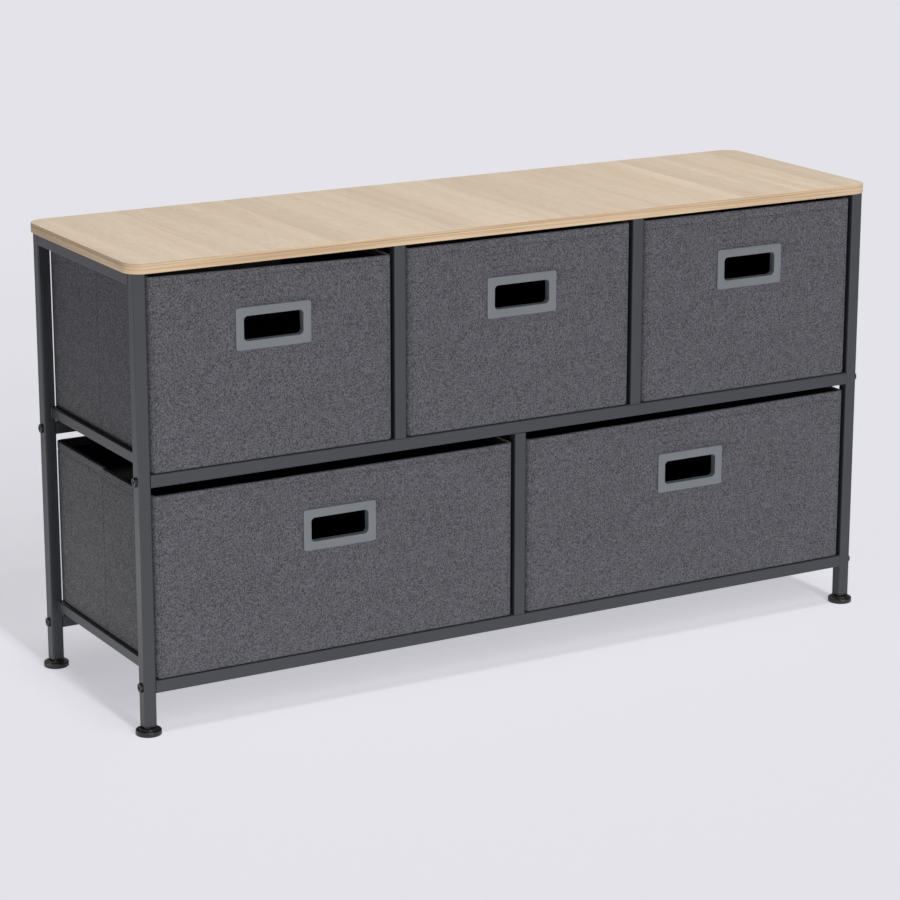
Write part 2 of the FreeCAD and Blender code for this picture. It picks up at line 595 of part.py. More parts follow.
def make_wall_boards(label, kind, x):
    """Boards that stand in the bin's walls, parted where the bin folds flat."""
    width = inset(kind["width"], "Sizes.fabric")
    depth = inset(DRAWER_DEPTH, "Sizes.fabric")
    height = f"({kind['top']} - {kind['bottom']} - 2 * Sizes.fabric - Sizes.board_slack)"
    body = new_body(label, (x, DRAWER_Y, f"{kind['bottom']} + Sizes.fabric"))
    ring = new_sketch(body, "XY")
    draw_rounded(ring, width, depth, "(Sizes.drawer_corner - Sizes.fabric)", "outside")
    draw_rectangle(ring, inset(width, "Sizes.wall_board"), inset(depth, "Sizes.wall_board"),
                   "inside")
    pad(body, ring, height)
    corner = f"({depth} / 2 - Sizes.wall_board - Sizes.board_fold / 2)"
    for place in (f"-{corner}", "0", corner):
        fold = new_sketch(body, "XY", ("0", place, "0"))
        draw_rectangle(fold, width, "Sizes.board_fold")
        pocket(body, fold, height, reverse=True)
    cut_handle_hole(body, f"({kind['top']} - {kind['bottom']} - Sizes.fabric)")
    return body


def make_base_board(label, kind, x):
    """A loose board that keeps the bin's bottom flat."""
    body = new_body(label, (x, DRAWER_Y, f"{kind['bottom']} + Sizes.fabric"))
    outline = new_sketch(body, "XY")
    margin = f"({WALL} + Sizes.base_board_play)"
    draw_rectangle(outline, inset(kind["width"], margin), inset(DRAWER_DEPTH, margin))
    pad(body, outline, "Sizes.base_board")
    return body


def handle_place(kind, x, behind="0"):
    """The middle of the handle, a distance behind the drawer's front."""
    return (x, f"-Sizes.frame_depth / 2 + Sizes.drawer_front_inset + {behind}",
            f"{kind['top']} - Sizes.handle_drop")


def make_handle(label, kind, x):
    """A moulded frame: a bezel on the fabric and a collar through the front wall."""
    body = new_body(label, handle_place(kind, x))
    bezel = new_sketch(body, "XZ")
    draw_rounded(bezel, "Sizes.handle_width", "Sizes.handle_height", "Sizes.handle_corner",
                 "outside")
    draw_rounded(bezel, "Sizes.grip_width", "Sizes.grip_height", "Sizes.grip_corner", "grip")
    pad(body, bezel, "Sizes.handle_proud")
    soften(body, "Y", -size_of("handle_proud"), "Sizes.handle_proud / 2")
    soften(body, "Y", -size_of("handle_proud"), "Sizes.handle_proud / 3", inner=True)
    collar = new_sketch(body, "XZ")
    draw_rounded(collar, COLLAR_WIDTH, COLLAR_HEIGHT, COLLAR_CORNER, "outside")
    draw_rounded(collar, "Sizes.grip_width", "Sizes.grip_height", "Sizes.grip_corner", "grip")
    pad(body, collar, f"{WALL} + Sizes.ring_thickness", reverse=True)
    return body


def make_handle_ring(label, kind, x):
    """The ring that clips on the collar inside the drawer."""
    body = new_body(label, handle_place(kind, x, WALL))
    ring = new_sketch(body, "XZ")
    draw_rounded(ring, f"({COLLAR_WIDTH} + 2 * Sizes.ring_border)",
                 f"({COLLAR_HEIGHT} + 2 * Sizes.ring_border)",
                 f"({COLLAR_CORNER} + Sizes.ring_border)", "outside")
    draw_rounded(ring, f"({COLLAR_WIDTH} + 2 * Sizes.ring_play)",
                 f"({COLLAR_HEIGHT} + 2 * Sizes.ring_play)",
                 f"({COLLAR_CORNER} + Sizes.ring_play)", "collar")
    pad(body, ring, "Sizes.ring_thickness", reverse=True)
    return body


def make_drawers():
    """Five drawers, each of a bin, wall boards, a base board, a handle and its ring."""
    pieces = []
    for name, (kind, x) in DRAWERS.items():
        pieces += [make_bin(f"{name}_bin", kind, x),
                   make_wall_boards(f"{name}_wall_boards", kind, x),
                   make_base_board(f"{name}_base_board", kind, x),
                   make_handle(f"{name}_handle", kind, x),
                   make_handle_ring(f"{name}_handle_ring", kind, x)]
    return pieces


# ---------------------------------------------------------------- build, check and write

def check_document():
    """Stop on a feature that failed or a pocket that cut nothing."""
    for item in doc.Objects:
        if "Invalid" in item.State or "Error" in item.State:
            raise RuntimeError(f"{item.Label} did not compute: {item.State}")
        if item.TypeId == "PartDesign::Pocket":
            if item.Shape.Volume > item.BaseFeature.Shape.Volume - 1e-3:
                raise RuntimeError(f"{item.Label} cuts nothing")


def write_parts(parts):
    """Check each sub-part's solids and write them to its STEP file."""
    os.makedirs("parts", exist_ok=True)
    for part in parts:
        shape = part.Shape
        if shape.isNull() or not shape.isValid() or not shape.Solids:
            raise RuntimeError(f"{part.Label} has no valid solid")
        shape.exportStep(f"parts/{part.Label}.step")
        box = shape.BoundBox
        print(f"{part.Label:32s} {len(shape.Solids):3d} {shape.Volume / 1000:9.2f} cm3"
              f"  X {box.XMin:8.2f} {box.XMax:8.2f}  Y {box.YMin:8.2f} {box.YMax:8.2f}"
              f"  Z {box.ZMin:8.2f} {box.ZMax:8.2f}")


sub_parts = [make_top_board(), *make_posts(), *make_side_rails(), *make_long_rails(),
             *make_dividers(), make_frame_bolts(), make_inner_screws(), make_divider_pegs(),
             make_tube_end_plugs(), make_post_plugs(), *make_feet(), *make_drawers()]
doc.recompute()
check_document()
write_parts(sub_parts)
print(len(sub_parts), "nodes")
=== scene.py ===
"""Looks of the fabric drawer dresser: oak board, coated frame, sewn bins and handles."""
import math

import bmesh
import bpy
from bpy.props import FloatProperty, FloatVectorProperty, PointerProperty
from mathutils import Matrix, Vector, noise
from mathutils.bvhtree import BVHTree


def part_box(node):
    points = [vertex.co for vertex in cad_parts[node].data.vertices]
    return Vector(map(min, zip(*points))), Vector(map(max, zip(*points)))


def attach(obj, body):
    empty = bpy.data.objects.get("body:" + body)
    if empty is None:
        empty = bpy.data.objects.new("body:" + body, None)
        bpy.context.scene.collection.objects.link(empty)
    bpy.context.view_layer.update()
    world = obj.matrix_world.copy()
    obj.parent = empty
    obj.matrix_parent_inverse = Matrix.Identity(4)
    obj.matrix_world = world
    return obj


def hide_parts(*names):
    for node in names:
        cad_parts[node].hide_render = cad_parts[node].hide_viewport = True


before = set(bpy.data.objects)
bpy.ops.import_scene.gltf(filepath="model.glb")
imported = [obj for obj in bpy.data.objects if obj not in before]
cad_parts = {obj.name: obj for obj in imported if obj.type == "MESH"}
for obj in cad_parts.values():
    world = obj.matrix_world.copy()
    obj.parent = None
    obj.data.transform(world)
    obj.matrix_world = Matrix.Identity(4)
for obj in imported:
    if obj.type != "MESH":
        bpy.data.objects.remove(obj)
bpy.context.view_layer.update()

bl_info = {
    "name": "Fabric drawer dresser",
    "version": (1, 0, 0),
    "blender": (4, 5, 0),
    "location": "3D View > Sidebar > Dresser",
    "description": "Builds the board, bins and handles of a dresser and gives them a finish",
    "category": "Object",
}

MM = 0.001
NEAR = 0.01 * MM    # the same level or length
DRAWERS = ("upper_left", "upper_middle", "upper_right", "lower_left", "lower_right")
CORNERS = ("front_left", "front_right", "back_left", "back_right")


# ---- small tools

def linear(hex_colour):
    """An sRGB hex colour as linear red, green, blue and an alpha of one."""
    channels = [int(hex_colour[place:place + 2], 16) / 255 for place in (1, 3, 5)]
    straight = [c / 12.92 if c <= 0.04045 else ((c + 0.055) / 1.055) ** 2.4 for c in channels]
    return (*straight, 1.0)


def smooth_step(value):
    """Ease from nought to one."""
    value = min(max(value, 0.0), 1.0)
    return value * value * (3 - 2 * value)


def colour_property(name, description, hex_colour):
    """A colour that a user may change."""
    return FloatVectorProperty(name=name, description=description, subtype="COLOR", size=4,
                               min=0, max=1, default=linear(hex_colour))


def length_property(name, description, millimetres):
    """A length that a user may change."""
    return FloatProperty(name=name, description=description, default=millimetres * MM,
                         min=0, precision=4, unit="LENGTH", subtype="DISTANCE")


def strength_property(name, description, default, unit="NONE"):
    """A light's strength that a user may change."""
    return FloatProperty(name=name, description=description, default=default, min=0,
                         unit=unit)


def new_box(name, low, high):
    """A cube primitive that fills low to high, with its place in its mesh."""
    bpy.ops.object.select_all(action="DESELECT")
    bpy.ops.mesh.primitive_cube_add(size=1, location=(low + high) / 2)
    piece = bpy.context.active_object
    piece.name = piece.data.name = name
    piece.scale = high - low
    bpy.ops.object.transform_apply(location=True, rotation=True, scale=True)
    return piece


def choose(piece):
    """Make one piece the active one and the only selected one."""
    bpy.ops.object.select_all(action="DESELECT")
    bpy.context.view_layer.objects.active = piece
    piece.select_set(True)


def start_edit(piece):
    """Open one piece in edit mode with nothing selected."""
    choose(piece)
    bpy.ops.object.mode_set(mode="EDIT")
    bpy.ops.mesh.select_all(action="DESELECT")


def end_edit():
    """Back to object mode."""
    bpy.ops.object.mode_set(mode="OBJECT")


def pick(piece, kind, test):
    """Select the vertices, edges or faces of the edited piece for which the test holds."""
    bpy.ops.mesh.select_mode(type=kind)
    bpy.ops.mesh.select_all(action="DESELECT")
    mesh = bmesh.from_edit_mesh(piece.data)
    mesh.normal_update()
    for element in {"VERT": mesh.verts, "EDGE": mesh.edges, "FACE": mesh.faces}[kind]:
        if test(element):
            element.select_set(True)
    bmesh.update_edit_mesh(piece.data)


def round_edges(piece, test, radius, segments):
    """Round the edges of the edited piece for which the test holds."""
    pick(piece, "EDGE", test)
    bpy.ops.mesh.bevel(offset=radius, segments=segments)


def along(axis):
    """A test for edges that run along an axis."""
    def test(edge):
        run = edge.verts[1].co - edge.verts[0].co
        return run.length > 0 and abs(run[axis]) > 0.999 * run.length
    return test


def facing(axis, sign, level):
    """A test for faces at a level that look one way along an axis."""
    def test(face):
        return (face.normal[axis] * sign > 0.99
                and abs(face.calc_center_median()[axis] - level) < NEAR)
    return test


def lies_at(edge, axis, level):
    """Whether both ends of an edge lie at a level."""
    return all(abs(vertex.co[axis] - level) < NEAR for vertex in edge.verts)


def rim_at(axis, level):
    """A test for edges that lie at a level between a flat face there and a wall."""
    def test(edge):
        flat = sorted(abs(face.normal[axis]) > 0.99 for face in edge.link_faces)
        return flat == [False, True] and lies_at(edge, axis, level)
    return test


def cut_across(axis, places):
    """Cut every face of the edited piece at each place along an axis."""
    normal = [0.0, 0.0, 0.0]
    normal[axis] = 1.0
    for place in places:
        bpy.ops.mesh.select_all(action="SELECT")
        bpy.ops.mesh.bisect(plane_co=[place * n for n in normal], plane_no=normal)


def divide_long_edges(piece, axis, step):
    """Divide the edited piece's edges along an axis into parts about a step long."""
    runs = along(axis)
    mesh = bmesh.from_edit_mesh(piece.data)
    lengths = {round(edge.calc_length(), 5) for edge in mesh.edges if runs(edge)}
    for length in sorted(lengths):
        parts = round(length / step)
        if parts < 2:
            continue
        pick(piece, "EDGE",
             lambda edge: runs(edge) and abs(edge.calc_length() - length) < NEAR)
        bpy.ops.mesh.subdivide(number_cuts=parts - 1)


def draw_out(*move):
    """Extrude the selected face by a move and leave its end open."""
    bpy.ops.mesh.extrude_region_move(TRANSFORM_OT_translate={"value": move})
    bpy.ops.mesh.delete(type="FACE")


def thicken(piece, thickness):
    """Give a sheet of faces a thickness inward."""
    choose(piece)
    modifier = piece.modifiers.new("Thickness", "SOLIDIFY")
    modifier.thickness = thickness
    bpy.ops.object.modifier_apply(modifier=modifier.name)


def smooth_shading(piece, degrees=35):
    """Smooth all but the sharp edges."""
    choose(piece)
    bpy.ops.object.shade_smooth_by_angle(angle=math.radians(degrees))


def real_size_map(piece):
    """Give a piece a map on which one unit is one metre, from six sides."""
    start_edit(piece)
    bpy.ops.mesh.select_all(action="SELECT")
    bpy.ops.uv.cube_project(cube_size=1.0)
    end_edit()


def finish_piece(piece, body, material, replaced=()):
    """Let a piece ride on its body, with its finish and the solids that it stands for."""
    piece.data.materials.clear()
    piece.data.materials.append(material)
    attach(piece, body)
    if replaced:
        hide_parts(*replaced)


def copy_piece(piece, name, offset):
    """A copy with a mesh of its own, moved by an offset."""
    copy = piece.copy()
    copy.data = piece.data.copy()
    copy.name = copy.data.name = name
    bpy.context.scene.collection.objects.link(copy)
    for vertex in copy.data.vertices:
        vertex.co += offset
    return copy


def paint_nodes(material, names):
    """Give solids of the frame a material."""
    for name in names:
        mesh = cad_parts[name].data
        mesh.materials.clear()
        mesh.materials.append(material)


# ---- materials

def add_node(tree, kind, sockets):
    """Add a shader node with its settings, its sockets' values and links from outputs."""
    node = tree.nodes.new("ShaderNode" + kind)
    for name, value in sockets.items():
        if isinstance(value, bpy.types.NodeSocket):
            tree.links.new(value, node.inputs[name])
        elif isinstance(name, str) and hasattr(node, name):
            setattr(node, name, value)
        else:
            node.inputs[name].default_value = value
    return node


class Look:
    """A material in the making: its tree, its shader and the steps that build them up."""

    def __init__(self, name, **shader):
        self.material = bpy.data.materials.new(name)
        self.material.use_nodes = True
        self.tree = self.material.node_tree
        self.surface = self.tree.nodes["Principled BSDF"]
        for socket, value in shader.items():
            socket = socket.replace("_", " ").title().replace("Ior", "IOR")
            self.surface.inputs[socket].default_value = value

    def place(self, kind="Object"):
        """Coordinates on the piece."""
        return add_node(self.tree, "TexCoord", {}).outputs[kind]

    def axis(self, source, name):
        """One axis of a vector output."""
        return add_node(self.tree, "SeparateXYZ", {"Vector": source}).outputs[name]

    def maths(self, operation, *values, kind="Math"):
        """One step on numbers or outputs, or on vectors by VectorMath."""
        return add_node(self.tree, kind,
                        {"operation": operation, **dict(enumerate(values))}).outputs[0]

    def weighted(self, *parts):
        """The sum of outputs that each have a weight."""
        total, *others = [self.maths("MULTIPLY", output, weight) for output, weight in parts]
        for other in others:
            total = self.maths("ADD", total, other)
        return total

    def noise(self, source, scale, detail=2.0, distortion=0.0):
        """Noise on coordinates stretched by one scale, or by one for each axis."""
        scales = scale if isinstance(scale, tuple) else (scale,) * 3
        placed = add_node(self.tree, "Mapping", {"Scale": scales, "Vector": source})
        return add_node(self.tree, "TexNoise", {
            "Scale": 1.0, "Detail": detail, "Distortion": distortion,
            "Vector": placed.outputs["Vector"]}).outputs["Fac"]

    def chance(self, dimensions, **source):
        """A random value for each number or place."""
        return add_node(self.tree, "TexWhiteNoise",
                        {"noise_dimensions": dimensions, **source}).outputs["Value"]

    def remap(self, value, low, high, to_low, to_high):
        """A value carried from one range to another."""
        return add_node(self.tree, "MapRange", {
            "From Min": low, "From Max": high, "To Min": to_low, "To Max": to_high,
            "Value": value}).outputs["Result"]

    def swing(self, noise_output, low, high):
        """The range where most of a noise lies carried to another."""
        return self.remap(noise_output, 0.3, 0.7, low, high)

    def blend(self, factor, first, second):
        """Two colours, or colour outputs, mixed by a factor."""
        return add_node(self.tree, "Mix", {"data_type": "RGBA", 0: factor, 6: first,
                                           7: second}).outputs[2]

    def scaled(self, source, amount):
        """A colour, a vector or an output times an amount."""
        if not isinstance(source, bpy.types.NodeSocket):
            source = tuple(source)[:3]
        return add_node(self.tree, "VectorMath", {"operation": "SCALE", 0: source,
                                                  "Scale": amount}).outputs[0]

    def mottle(self, colour, noise_output, low, high):
        """A colour made lighter and darker by a noise."""
        return self.scaled(colour, self.swing(noise_output, low, high))

    def lay(self, colour, roughness=None, relief=None):
        """Link the colour, the roughness, and the relief as height, strength and distance."""
        self.tree.links.new(colour, self.surface.inputs["Base Color"])
        if roughness:
            self.tree.links.new(roughness, self.surface.inputs["Roughness"])
        if relief:
            height, strength, distance = relief
            bump = add_node(self.tree, "Bump", {"Strength": strength, "Distance": distance,
                                                "Height": height})
            self.tree.links.new(bump.outputs["Normal"], self.surface.inputs["Normal"])
        return self.material


def oak_foil(settings):
    """Printed light oak foil on particle board: strips of grain from front to back, matt."""
    look = Look("light_oak_foil", roughness=0.74, ior=1.46, specular_ior_level=0.2)
    place = look.place()
    # printed strips, each a little darker at its left seam than at its right
    strip = look.maths("DIVIDE", look.maths("ADD", look.axis(place, "X"),
                                            settings.strip_shift), settings.strip_width)
    number = look.maths("FLOOR", strip)
    across = look.maths("FRACT", strip)
    tone = look.chance("1D", W=number)
    shift = add_node(look.tree, "CombineXYZ", {"Y": look.maths("MULTIPLY", number, 3.7)})
    own = look.maths("ADD", place, shift.outputs["Vector"], kind="VectorMath")
    # broad pale and dark bands, 15 to 40 mm wide, that run from front to back
    bands = look.noise(own, (34, 1.6, 1), 2, 0.5)
    # growth rings with short waves, 4 to 12 mm wide
    figure = look.noise(own, (30, 4.5, 1), 3, 1.1)
    rings = look.maths("PINGPONG", look.maths("MULTIPLY", figure, 7.0), 0.5)
    # fine grain lines 1 to 1.5 mm apart, and pores 0.8 mm wide and 7 mm long
    lines = look.noise(own, (700, 60, 1), 3, 0.4)
    pores = look.noise(own, (1250, 140, 1))
    grain = look.weighted((rings, 0.25), (lines, 0.4), (bands, 0.75))
    colour = look.blend(look.remap(grain, 0.4, 0.9, 0, 1),
                        settings.light_grain, settings.dark_grain)
    colour = look.scaled(colour, look.remap(across, 0, 1, 0.945, 1.02))
    colour = look.scaled(colour, look.remap(tone, 0, 1, 0.97, 1.02))
    colour = look.scaled(colour, look.remap(pores, 0.3, 0.46, 0.9, 1.0))
    return look.lay(colour, look.swing(lines, 0.7, 0.8),
                    (look.maths("ADD", lines, pores), 0.12, 0.15 * MM))


def oak_edge_band(settings):
    """Glued oak edge band: warm, with long level grain lines."""
    look = Look("oak_edge_band", roughness=0.5, ior=1.46)
    place = look.place()
    # grain lines 2 to 4 mm high and many centimetres long, with finer ones between them
    lines = look.noise(place, (4, 4, 330), 2, 0.4)
    fine = look.noise(place, (9, 9, 1300), 2, 0.2)
    blush = look.noise(place, (12, 12, 120))
    colour = look.blend(look.remap(lines, 0.35, 0.65, 0, 1),
                        settings.band_light, settings.band_dark)
    colour = look.blend(look.remap(blush, 0.45, 0.75, 0, 0.5), colour, settings.band_blush)
    colour = look.mottle(colour, fine, 0.9, 1.06)
    # the foil's edge shows as a brown line below the upper arris
    off_line = look.maths("ABSOLUTE", look.maths("SUBTRACT", look.axis(place, "Z"),
                                                 settings.line_height))
    colour = look.scaled(colour, look.remap(off_line, 0.25 * MM, 0.9 * MM, 0.8, 1.0))
    return look.lay(colour, relief=(lines, 0.15, 0.1 * MM))


def powder_coat(settings):
    """Baked anthracite powder on steel tube: matt, with a fine orange peel."""
    look = Look("anthracite_powder_coat", roughness=0.47, ior=1.5)
    place = look.place()
    # orange peel about 1 mm wide
    peel = look.noise(place, 1000)
    colour = look.mottle(settings.coat, look.noise(place, 14), 0.95, 1.05)
    colour = look.mottle(colour, peel, 0.97, 1.03)
    return look.lay(colour, look.swing(peel, 0.42, 0.54), (peel, 0.2, 0.08 * MM))


def linen_look_cloth(settings):
    """Non-woven cloth printed and embossed as a melange linen weave: dry, slightly hairy."""
    look = Look("grey_linen_look_cloth", roughness=0.92, ior=1.45, sheen_weight=0.03,
                sheen_roughness=0.5, specular_ior_level=0.25)
    place = look.place("UV")
    # the real cloth's threads are 0.6 mm apart, and drawn 1.1 mm apart so that they show
    counted = look.scaled(place, 1 / settings.thread)
    # slubs bend the rows of threads a little
    wander = add_node(look.tree, "TexNoise", {"Scale": 0.22, "Detail": 1.0,
                                              "Vector": counted}).outputs["Color"]
    bent = look.maths("ADD", counted, wander, kind="VectorMath")
    fleck = look.chance("2D", Vector=look.maths("FLOOR", bent, kind="VectorMath"))
    # every thread also has its own tone over a centimetre or two
    upright = look.noise(bent, (1.0, 0.08, 1), 1)
    level = look.noise(bent, (0.08, 1.0, 1), 1)
    tone = look.weighted((fleck, 0.75), (look.maths("ADD", upright, level), 0.25))
    colour = look.blend(look.remap(tone, 0.2, 0.9, 0, 1),
                        settings.cloth_dark, settings.cloth_light)
    colour = look.mottle(colour, look.noise(place, (22, 22, 1)), 0.97, 1.03)
    # embossed crossings, with the flecks standing a little higher
    waves = [look.maths("SINE", look.maths("MULTIPLY", look.axis(bent, name), math.pi))
             for name in "XY"]
    height = look.weighted((look.maths("MULTIPLY", *waves), 0.3), (fleck, 1.0))
    return look.lay(colour, relief=(height, 0.4, 0.2 * MM))


def black_lining(settings):
    """Thin black spun-bonded cloth inside the bins, with small pressed dots."""
    look = Look("black_spunbond_lining", roughness=0.85, ior=1.45)
    place = look.place()
    # bonding dots 2 mm apart
    dots = add_node(look.tree, "TexVoronoi", {"Scale": 500.0, "Vector": place})
    colour = look.mottle(settings.lining, look.noise(place, 700, 3), 0.8, 1.25)
    return look.lay(colour, relief=(dots.outputs["Distance"], 0.3, 0.15 * MM))


def sewing_thread(settings):
    """Twisted polyester sewing thread in the cloth's grey."""
    look = Look("grey_sewing_thread", roughness=0.7, ior=1.5)
    twist = look.noise(look.place(), 1500, 1)
    return look.lay(look.mottle(settings.thread_colour, twist, 0.8, 1.15))


def moulded_plastic(name, colour, roughness, grain, mottle):
    """Injection-moulded plastic with a spark-eroded grain; grain is its width in metres."""
    look = Look(name, roughness=roughness, ior=1.5)
    place = look.place()
    skin = look.noise(place, 1 / grain, 3)
    tinted = look.mottle(colour, look.noise(place, 30), 1 - mottle, 1 + mottle)
    tinted = look.mottle(tinted, skin, 0.98, 1.02)
    return look.lay(tinted, look.swing(skin, roughness - 0.05, roughness + 0.07),
                    (skin, 0.15, 0.05 * MM))


def plated_steel(name, colour, roughness):
    """Plated steel: turned or pressed, with faint handling marks."""
    look = Look(name, roughness=roughness, metallic=1.0)
    marks = look.noise(look.place(), 900, 3)
    return look.lay(look.mottle(colour, marks, 0.85, 1.1),
                    look.swing(marks, roughness - 0.08, roughness + 0.12))


def pressed_fibre(name, colour, roughness):
    """Pressed fibreboard or turned wood with short fibres."""
    look = Look(name, roughness=roughness, ior=1.46)
    fibres = look.noise(look.place(), (260, 260, 60), 4)
    return look.lay(look.mottle(colour, fibres, 0.82, 1.12), relief=(fibres, 0.2, 0.1 * MM))


def studio_paper(settings):
    """Seamless paper on a light table: matt, lit from below so that shadows stay pale."""
    look = Look("pale_studio_paper", roughness=0.95, specular_ior_level=0.0,
                emission_color=settings.glow, emission_strength=settings.glow_strength)
    fibre = look.noise(look.place(), 60, 3)
    return look.lay(look.mottle(settings.paper, fibre, 0.998, 1.002))


# ---- settings

class BoardSettings(bpy.types.PropertyGroup):
    """Sizes and colours of the top board."""
    corner: length_property("Corner radius", "Rounding of the corners in plan", 22)
    edge: length_property("Edge radius", "Rounding of the upper and lower edges", 1.2)
    joint_drop: length_property("Joint drop", "Board's top to the line in its edge", 3.8)
    joint_depth: length_property("Joint depth", "Depth of the line in the edge", 0.3)
    strip_width: length_property("Strip width", "Width of a printed strip of wood", 140)
    strip_shift: length_property("Strip shift", "Middle to the first seam at its left", 107)
    light_grain: colour_property("Light grain", "Oak between the grain lines", "#EAD8C2")
    dark_grain: colour_property("Dark grain", "Oak grain lines", "#DAC5AC")
    line_height: length_property("Line height", "Floor to the band's brown line", 541.4)
    band_light: colour_property("Band light", "Edge band between the grain lines", "#DDC3A1")
    band_dark: colour_property("Band dark", "Edge band's grain lines", "#BFA17E")
    band_blush: colour_property("Band blush", "Warmer patches of the edge band", "#CFA684")


class FrameSettings(bpy.types.PropertyGroup):
    """Weld width, and colours of the frame and its fittings."""
    bead: length_property("Weld bead", "Width of the weld beads", 2.4)
    coat: colour_property("Powder coat", "Colour of the steel tubes", "#37393D")
    bolt: colour_property("Bolts", "Colour of the bolts' plating", "#3C3C3E")
    zinc: colour_property("Zinc", "Colour of the screws and studs", "#B4B5B8")
    plug: colour_property("Plugs", "Colour of the plugs in the tubes", "#1A1A1B")
    peg: colour_property("Pegs", "Colour of the wooden pegs", "#C8A67C")
    foot: colour_property("Feet", "Colour of the levelling feet", "#1B1B1C")


class BinSettings(bpy.types.PropertyGroup):
    """Sizes and colours of the sewn bins."""
    corner: length_property("Corner radius", "Rounding of the upright corners", 8)
    bottom_edge: length_property("Bottom radius", "Rounding round the bottom", 3)
    wall: length_property("Wall", "Outside of a wall to its inside", 5)
    cloth: length_property("Cloth", "Thickness of the cloth", 0.7)
    hem: length_property("Hem", "Rim to the seam below it", 10.5)
    turn_in: length_property("Turn-in", "Cloth that folds down inside the rim", 14)
    side_seam: length_property("Side seam", "Corner to the seam beside it", 6.5)
    seam_depth: length_property("Seam depth", "How far a seam pulls the cloth in", 0.55)
    seam_width: length_property("Seam width", "Width of the dip along a seam", 2.4)
    ripple: length_property("Ripple", "Height of the soft waves in the walls", 0.75)
    mesh_step: length_property("Mesh step", "Distance between cuts in the cloth", 7)
    stitch: length_property("Stitch", "Length from one stitch to the next", 4)
    thread: length_property("Thread pitch", "Distance between drawn threads", 1.1)
    cloth_light: colour_property("Light threads", "Lighter threads of the cloth", "#67676C")
    cloth_dark: colour_property("Dark threads", "Darker threads of the cloth", "#333337")
    thread_colour: colour_property("Sewing thread", "Colour of the seams' thread", "#2C2C30")
    lining: colour_property("Lining", "Colour of the cloth inside", "#101011")
    board: colour_property("Wall boards", "Colour of the boards in the walls", "#8A6B4A")


class HandleSettings(bpy.types.PropertyGroup):
    """Sizes and colour of the slot handles."""
    outer_corner: length_property("Outer corner", "Corner radius of the bezel", 3)
    inner_corner: length_property("Inner corner", "Corner radius of the slot", 5)
    grip_width: length_property("Slot width", "Slot from left to right", 74)
    grip_height: length_property("Slot height", "Slot from bottom to top", 28.5)
    collar: length_property("Collar", "Wall of the collar behind the bezel", 2)
    proud: length_property("Proud", "Bezel in front of the cloth", 2.2)
    rounding: length_property("Rounding", "Rounding of the bezel's edges", 0.9)
    plastic: colour_property("Plastic", "Colour of the handles", "#6F7478")


class StageSettings(bpy.types.PropertyGroup):
    """Camera, light and paper."""
    camera: FloatVectorProperty(name="Camera", description="Its place", size=3, unit="LENGTH",
                                subtype="TRANSLATION", default=(-1.7868, -3.0859, 1.2082))
    turn: FloatProperty(name="Turn", description="How far the camera looks to the right",
                        subtype="ANGLE", unit="ROTATION", default=math.radians(29.859))
    tilt: FloatProperty(name="Tilt", description="How far the camera looks down",
                        subtype="ANGLE", unit="ROTATION", default=math.radians(15.26))
    lens: FloatProperty(name="Lens", description="Focal length in millimetres",
                        default=120.43, min=1)
    key: strength_property("Key light", "Light of the tall soft box on the floor", 0.53)
    front: strength_property("Front light", "Strength of the light from the front", 0.93)
    top: strength_property("Top light", "Strength of the light from above", 0.42)
    rim: strength_property("Rim light", "Strength of the light from behind", 1.75)
    left: strength_property("Left light", "Power of the light at the left", 0.8, "POWER")
    low: strength_property("Low light", "Power of the light at the feet", 0.6, "POWER")
    fill: strength_property("Fill light", "Brightness of the light all round", 0.06)
    paper: colour_property("Paper", "Colour of the floor", "#F3F2F8")
    glow: colour_property("Glow", "Colour of the light table under the floor", "#E4E3E9")
    glow_strength: strength_property("Glow strength", "Light from the table", 0.58)
    back: colour_property("Background", "Colour behind the floor", "#E4E3E9")


# ---- top board

class DRESSER_OT_top_board(bpy.types.Operator):
    """Shape the oak board and its edge band"""
    bl_idname = "dresser.top_board"
    bl_label = "Top board"

    def execute(self, context):
        settings = context.scene.dresser_board
        low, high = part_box("top_board")
        board = new_box("oak_board", low, high)
        start_edit(board)
        round_edges(board, along(2), settings.corner, 14)
        for level in (low.z, high.z):
            round_edges(board, rim_at(2, level), settings.edge, 4)
        joint = high.z - settings.joint_drop
        half = 0.35 * MM
        cut_across(2, (joint - half, joint, joint + half))
        pick(board, "VERT", lambda vertex: abs(vertex.co.z - joint) < NEAR)
        bpy.ops.transform.shrink_fatten(value=-settings.joint_depth)
        end_edit()
        finish_piece(board, "frame", oak_foil(settings), ["top_board"])
        board.data.materials.append(oak_edge_band(settings))
        start_edit(board)
        pick(board, "FACE", lambda face: abs(face.normal.z) < 0.75)
        board.active_material_index = 1
        bpy.ops.object.material_slot_assign()
        end_edit()
        smooth_shading(board)
        return {"FINISHED"}


# ---- frame and feet

